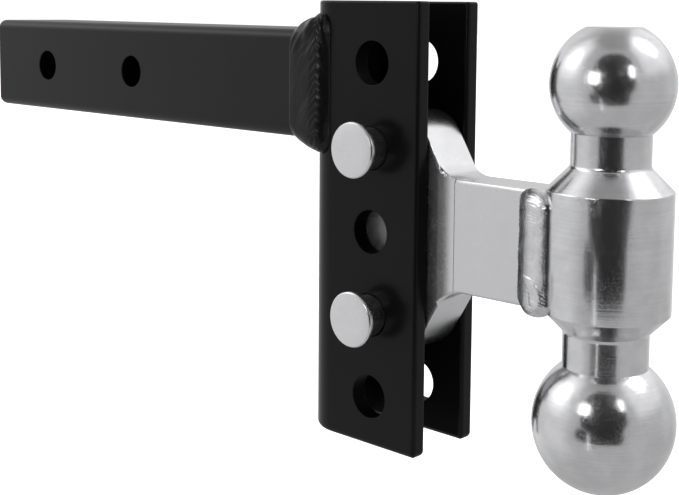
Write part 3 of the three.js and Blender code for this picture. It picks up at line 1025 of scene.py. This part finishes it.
def neck_bead_height(across, along, seed):
    """How far the bead's face stands out. across is -1 at the neck and 1 at the post."""
    weave = 0.8 * noise.noise((along / 4, across * 1.5, seed))
    on_slope = unit((BEAD_SHOULDER + 0.1 - across) / 0.25)
    slant_place = along - 11 * across + 1.4 * weave
    arc_place = along + 8.0 * (across - 0.3) ** 2 + weave
    slanted = SLANT_RIPPLE_DEPTH * math.sin(2 * math.pi * slant_place / SLANT_RIPPLE_PITCH)
    arcs = ARC_RIPPLE_DEPTH * math.sin(2 * math.pi * arc_place / ARC_RIPPLE_PITCH)
    ripple = slanted * on_slope + arcs * (1 - on_slope)
    swell = 0.35 * noise.noise((along / 5, across * 1.6, seed + 4))
    pits = 0.1 * noise.noise((along / 0.9, across * 10, seed + 9))
    puddle = math.hypot(
        (across - PUDDLE_MIDDLE[0]) / PUDDLE_SIZE[0], (along - PUDDLE_MIDDLE[1]) / PUDDLE_SIZE[1]
    )
    overlap = 0.4 * unit((1.0 - puddle) / 0.09) - 0.25 * max(0, 1 - puddle)
    crater_x = (across - CRATER_MIDDLE[0]) * HALF_ACROSS_MM
    crater_y = along - CRATER_MIDDLE[1]
    crater = -0.5 * hump(crater_x, crater_y, 0.7, 7.0)
    hook = -0.4 * hump(crater_x - 1.2, crater_y + 1.8, 1.6, 0.6)
    return ripple + swell + pits + overlap + crater + hook


def make_neck_weld(node, side, seed):
    low, high = box_mm(node)
    middle_z = (low.z + high.z) / 2
    half_tall = (high.z - low.z) / 2
    straight = half_tall - BEAD_END
    slant = BAR_TOE - NECK_TOE
    half_across = slant.length / 2
    along_slant = slant.normalized()
    outward = Vector((along_slant.y, -along_slant.x))
    middle = (NECK_TOE + BAR_TOE) / 2 - outward * BEAD_INSET
    mesh = bmesh.new()
    rings = []
    # t runs up from the bead's middle, and past the straight stretch the bead narrows to nothing.
    for k in range(1, BEAD_ROWS):
        t = -half_tall * math.cos(math.pi * k / BEAD_ROWS)
        past = max(0, abs(t) - straight) / BEAD_END
        shrink = math.sqrt(max(0, 1 - past * past))
        ring = []
        for across, rise in circle(1, BEAD_ROW_POINTS):
            standing = BEAD_THICKNESS * shrink * rise
            if rise > 0:
                standing = BEAD_THICKNESS * shrink * neck_bead_profile(across)
                standing += neck_bead_height(across, t, seed) * min(1, rise * 1.6) * shrink
            across *= shrink
            point = middle + along_slant * (half_across * across) + outward * standing
            ring.append(mesh.verts.new((point.x, side * -point.y, middle_z + t)))
        rings.append(ring)
    bottom = mesh.verts.new((middle.x, side * -middle.y, middle_z - half_tall))
    top = mesh.verts.new((middle.x, side * -middle.y, middle_z + half_tall))
    for i in range(BEAD_ROW_POINTS):
        j = (i + 1) % BEAD_ROW_POINTS
        mesh.faces.new((bottom, rings[0][i], rings[0][j]))
        mesh.faces.new((top, rings[-1][j], rings[-1][i]))
        for lower, upper in zip(rings, rings[1:]):
            mesh.faces.new((lower[i], lower[j], upper[j], upper[i]))
    weld = new_piece(node, mesh)
    smooth(weld, 60)
    stand_for(weld, node, "hitch", NECK_WELD_LOOK)


# ---------- pins and clips ----------


def make_pin(node, z):
    low, high = box_mm(node)
    head_back = low.y + PIN_HEAD_THICKNESS
    rim = PIN_HEAD_CHAMFER
    small = PIN_SMALL_ROUNDING
    profile = [
        (0, low.y),
        (PIN_HEAD_RADIUS * 0.5, low.y),
        (PIN_HEAD_RADIUS - rim - 0.1, low.y),
        (PIN_HEAD_RADIUS - rim, low.y + 0.03),
        (PIN_HEAD_RADIUS - 0.03, low.y + rim),
        (PIN_HEAD_RADIUS, low.y + rim + 0.1),
        (PIN_HEAD_RADIUS, head_back - small),
        (PIN_HEAD_RADIUS - small, head_back),
        (PIN_RADIUS + small, head_back),
        (PIN_RADIUS, head_back + small),
        (PIN_RADIUS, high.y - PIN_END_CHAMFER - 0.1),
        (PIN_RADIUS - 0.1, high.y - PIN_END_CHAMFER),
        (PIN_RADIUS - PIN_END_CHAMFER, high.y - 0.1),
        (PIN_RADIUS - PIN_END_CHAMFER - 0.1, high.y),
        (PIN_RADIUS * 0.5, high.y),
        (0, high.y),
    ]
    mesh = lathe(profile, 128)
    lie_down = Matrix(((1, 0, 0), (0, 0, 1), (0, -1, 0)))
    bmesh.ops.rotate(mesh, verts=mesh.verts, cent=(0, 0, 0), matrix=lie_down)
    bmesh.ops.translate(mesh, verts=mesh.verts, vec=(PIN_X, 0, z))
    pin = new_piece(node, mesh)
    clip_low, clip_high = box_mm(node.replace("pin", "clip"))
    clip_y = (clip_low.y + clip_high.y) / 2
    past = PIN_RADIUS + PAST
    carve(pin, [bar_along_z(CLIP_HOLE_RADIUS, PIN_X, clip_y, z - past, z + past, 48)])
    smooth(pin, 32)
    stand_for(pin, node, node, PIN_LOOK)


def clip_points():
    """The wire's line, sideways and up from the pin's axis."""
    hug = PIN_RADIUS + WIRE_RADIUS + WIRE_CLEARANCE
    points = [(0, LEG_BOTTOM), (0, LEG_BOTTOM / 2), (0, 0), (0, LEG_TOP / 2), (0, LEG_TOP)]
    for degrees in range(-30, 211, 30):
        angle = math.radians(degrees)
        points.append((
            LOOP_CENTRE[0] + LOOP_RADIUS * math.cos(angle),
            LOOP_CENTRE[1] + LOOP_RADIUS * math.sin(angle),
        ))
    points.append(BEND_BELOW_LOOP)
    for degrees in HUG_DEGREES:
        angle = math.radians(degrees)
        points.append((hug * math.cos(angle), hug * math.sin(angle)))
    for out, up in TAIL_FLARE:
        points.append((-hug - out, up))
    return points


def make_clip(node, z):
    low, high = box_mm(node)
    y = (low.y + high.y) / 2
    data = bpy.data.curves.new(node, "CURVE")
    data.dimensions = "3D"
    data.bevel_depth = WIRE_RADIUS * MM
    data.bevel_resolution = 7
    data.resolution_u = 10
    data.use_fill_caps = True
    spline = data.splines.new("BEZIER")
    points = clip_points()
    spline.bezier_points.add(len(points) - 1)
    for bezier, (aside, up) in zip(spline.bezier_points, points):
        bezier.co = Vector((PIN_X + aside, y, z + up)) * MM
        bezier.handle_left_type = "AUTO"
        bezier.handle_right_type = "AUTO"
    wire = add_object(node, data)
    bpy.context.view_layer.update()
    graph = bpy.context.evaluated_depsgraph_get()
    mesh = bpy.data.meshes.new_from_object(wire.evaluated_get(graph), depsgraph=graph)
    clip = add_object(node + "_wire", mesh)
    bpy.data.objects.remove(wire)
    bpy.data.curves.remove(data)
    break_edges(clip, 0.25, segments=2, from_degrees=60)
    stand_for(clip, node, node, CLIP_LOOK)


make_shank()
make_channel()
make_shank_weld()
make_bracket()
make_post()
make_neck_weld("near_neck_weld", side=-1, seed=2.0)
make_neck_weld("far_neck_weld", side=1, seed=31.0)
make_pin("upper_pin", UPPER_PIN_Z)
make_pin("lower_pin", LOWER_PIN_Z)
make_clip("upper_clip", UPPER_PIN_Z)
make_clip("lower_clip", LOWER_PIN_Z)

# ---------- studio ----------

FLOOR_DROP = 0.25
FLOOR_SIZE = 30.0
FLOOR_GLOW = 0.8
STUDIO_CENTRE = Vector((POST_X * MM, 0.0, -0.06))


def toward(left_degrees, up_degrees):
    """A direction from the object, turned left and up from the camera's side."""
    right, _, forward = camera_axes()
    back = Vector((-forward.x, -forward.y, 0)).normalized()
    left = Vector((-right.x, -right.y, 0)).normalized()
    turn = math.radians(left_degrees)
    level = back * math.cos(turn) + left * math.sin(turn)
    rise = math.radians(up_degrees)
    return level * math.cos(rise) + Vector((0, 0, math.sin(rise)))


def make_floor():
    mesh = bmesh.new()
    bmesh.ops.create_grid(mesh, x_segments=8, y_segments=8, size=FLOOR_SIZE / 2)
    floor = mesh_object("floor", mesh)
    floor.location.z = cad_low.z - FLOOR_DROP
    look = Look("floor_paint", (0.9, 0.9, 0.9), 0.0, 0.9)
    look.shader.inputs["Emission Color"].default_value = (1, 1, 1, 1)
    look.shader.inputs["Emission Strength"].default_value = FLOOR_GLOW
    floor.data.materials.append(look.finish())
    floor.visible_glossy = False


def make_card(name, turn, distance, corners, shade):
    """An upright card seen only in reflections. Corners run to the left and up, in metres."""
    facing = toward(turn, 0)
    aside = Vector((facing.y, -facing.x, 0))
    centre = Vector((STUDIO_CENTRE.x, STUDIO_CENTRE.y, 0)) + facing * distance
    mesh = bmesh.new()
    points = []
    for point in rounded_outline(corners):
        points.append(centre + aside * point.x + Vector((0, 0, point.y)))
    mesh.faces.new([mesh.verts.new(point) for point in points])
    card = mesh_object(name, mesh)
    card.data.materials.append(Look(name, grey(shade), 0.0, 1.0).finish())
    card.visible_camera = False
    card.visible_diffuse = False
    card.visible_shadow = False


def make_softbox(name, left, up, distance, width, height, radiance):
    """A rectangular area light that faces the object and shines with one radiance."""
    light = bpy.data.lights.new(name, "AREA")
    light.shape = "RECTANGLE"
    light.size = width
    light.size_y = height
    light.energy = radiance * width * height * math.pi
    direction = toward(left, up)
    softbox = add_object(name, light)
    softbox.location = STUDIO_CENTRE + direction * distance
    softbox.rotation_mode = "QUATERNION"
    softbox.rotation_quaternion = direction.to_track_quat("Z", "Y")
    softbox.visible_camera = False


# The grey room's light from below, how much more comes from the level and above, and how much
# of it is left straight overhead. BACKDROP is the white that the camera sees.
ROOM_LIGHT = 0.47
ROOM_LIGHT_ABOVE = 0.02
OVERHEAD_SHARE = 0.65
BACKDROP = 1.1

# Patches of light in the room: from and to turned left, from and to up, softness, strength.
ROOM_PANELS = [
    (80, 130, 12, 62, 14, 0.6),
    (92, 112, 24, 42, 8, 2.2),
    (-118, -78, 44, 64, 8, 1.3),
    (70, 150, -40, 30, 16, 0.2),
    (-182, -140, -30, 50, 16, 0.25),
    (140, 182, -30, 50, 16, 0.25),
    (-150, -95, -10, 30, 14, 0.12),
]

# A tall window on the right. Its edge nearer the camera is upright, between two values of how
# far left a direction points.
WINDOW = (-150, -48, 16, 200, 9)
WINDOW_EDGE = (-0.37, -0.3)
WINDOW_STRENGTH = 0.38


def make_world():
    """A grey room with soft lighter patches, and plain white behind the object."""
    world = bpy.data.worlds.new("studio")
    world.use_nodes = True
    bpy.context.scene.world = world
    tree = world.node_tree
    nodes = tree.nodes
    nodes.clear()

    def dot(vector):
        node = nodes.new("ShaderNodeVectorMath")
        node.operation = "DOT_PRODUCT"
        tree.links.new(direction, node.inputs[0])
        node.inputs[1].default_value = vector
        return node.outputs["Value"]

    def rising(value, low, high):
        return range_node(tree, value, low, high, 0, 1)

    def falling(value, low, high):
        return range_node(tree, value, low, high, 1, 0)

    def patch(turn_from, turn_to, rise_from, rise_to, soft):
        """1 inside a patch of directions, and 0 outside, with soft edges."""
        sideways = math_node(tree, "MULTIPLY", rising(turn, turn_from - soft, turn_from + soft),
                             falling(turn, turn_to - soft, turn_to + soft))
        level = math_node(tree, "MULTIPLY", rising(rise, rise_from - soft, rise_from + soft),
                          falling(rise, rise_to - soft, rise_to + soft))
        return math_node(tree, "MULTIPLY", sideways, level)

    def glow(name, strength):
        node = nodes.new("ShaderNodeBackground")
        node.name = name
        node.inputs["Color"].default_value = (1, 1, 1, 1)
        node.inputs["Strength"].default_value = strength
        return node

    direction = nodes.new("ShaderNodeTexCoord").outputs["Generated"]
    ahead = dot(toward(0, 0))
    left = dot(toward(90, 0))
    up = dot((0, 0, 1))
    turn = math_node(tree, "MULTIPLY", math_node(tree, "ARCTAN2", left, ahead), math.degrees(1))
    rise = math_node(tree, "MULTIPLY", math_node(tree, "ARCSINE", up), math.degrees(1))

    light = math_node(tree, "MULTIPLY_ADD", rising(rise, -75, 5), ROOM_LIGHT_ABOVE, ROOM_LIGHT)
    for *edges, strength in ROOM_PANELS:
        light = math_node(tree, "MULTIPLY_ADD", patch(*edges), strength, light)
    overhead = math_node(
        tree, "MULTIPLY_ADD", falling(rise, 56, 76), 1 - OVERHEAD_SHARE, OVERHEAD_SHARE
    )
    light = math_node(tree, "MULTIPLY", light, overhead)
    window = math_node(tree, "MULTIPLY", patch(*WINDOW), falling(left, *WINDOW_EDGE))
    light = math_node(tree, "MULTIPLY_ADD", window, WINDOW_STRENGTH, light)

    studio = glow("studio", 1)
    tree.links.new(light, studio.inputs["Strength"])
    white = glow("backdrop", BACKDROP)
    seen = nodes.new("ShaderNodeLightPath").outputs["Is Camera Ray"]
    mix = nodes.new("ShaderNodeMixShader")
    tree.links.new(seen, mix.inputs["Fac"])
    tree.links.new(studio.outputs["Background"], mix.inputs[1])
    tree.links.new(white.outputs["Background"], mix.inputs[2])
    output = nodes.new("ShaderNodeOutputWorld")
    tree.links.new(mix.outputs["Shader"], output.inputs["Surface"])


# The dark doorway round the camera, and the greyer corner beside it, as (left, up, radius)
# corners in metres.
DOORWAY = [
    (-0.225, -0.26, 0.01),
    (0.162, -0.26, 0.01),
    (0.162, -0.12, 0.01),
    (0.27, -0.10, 0.04),
    (0.32, 0.04, 0.12),
    (0.31, 0.66, 0.25),
    (-0.31, 0.66, 0.25),
    (-0.31, 0.00, 0.10),
    (-0.225, -0.10, 0.05),
]
GREY_CORNER = [
    (0.174, -0.26, 0.01),
    (0.38, -0.26, 0.01),
    (0.36, -0.11, 0.03),
    (0.174, -0.12, 0.01),
]

make_floor()
make_card("doorway", turn=9, distance=0.40, corners=DOORWAY, shade=0.010)
make_card("grey_corner", turn=9, distance=0.401, corners=GREY_CORNER, shade=0.035)
make_world()
# Angles in degrees from the camera's side, distances and sizes in metres.
make_softbox("softbox_top", left=-100, up=45, distance=1.6, width=0.5, height=0.5, radiance=1.5)
make_softbox("strip", left=31.0, up=-24, distance=0.40, width=0.010, height=0.17, radiance=1.7)
make_softbox("lamp_left", left=43.6, up=22, distance=0.395, width=0.10, height=0.11, radiance=4.0)
make_softbox("lamp_right", left=-24, up=33, distance=0.40, width=0.04, height=0.12, radiance=4.0)

bpy.context.scene.view_settings.view_transform = "Standard"
